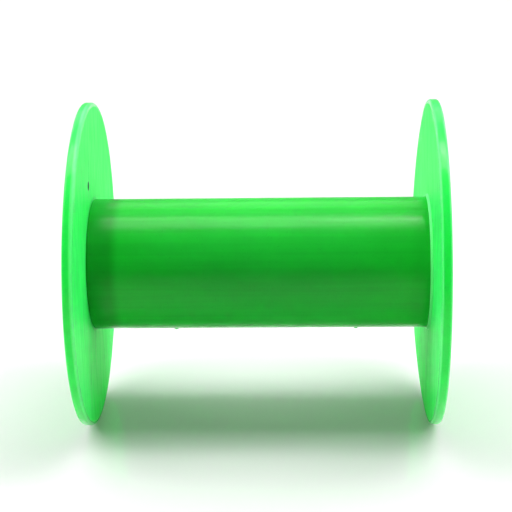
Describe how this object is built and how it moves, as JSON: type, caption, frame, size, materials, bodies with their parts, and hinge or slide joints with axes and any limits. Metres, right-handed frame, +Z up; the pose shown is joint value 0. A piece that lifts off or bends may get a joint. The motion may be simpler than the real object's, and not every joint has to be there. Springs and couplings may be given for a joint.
{
  "type": "solder wire spool",
  "caption": "Empty plastic spool for solder wire: thin round flanges plugged into a hollow barrel, with a bore tube for a spindle.",
  "frame": {"origin": "centre of the spool, on its axis and midway between the flanges", "axes": "+X along the spool's axis, from the flange with the wire-start hole to the other flange; +Z up as the spool lies on its two rims"},
  "size_m": [0.0688, 0.063, 0.063],
  "materials": {
    "flange_plastic": "glossy, slightly translucent bright green moulding",
    "barrel_plastic": "glossy bright green moulding, darker where light can't pass through",
    "tube_plastic": "glossy green moulding"
  },
  "bodies": {
    "root": {"barrel": "barrel_plastic", "left_flange": "flange_plastic", "right_flange": "flange_plastic", "arbor_tube": "tube_plastic"}
  },
  "joints": []
}
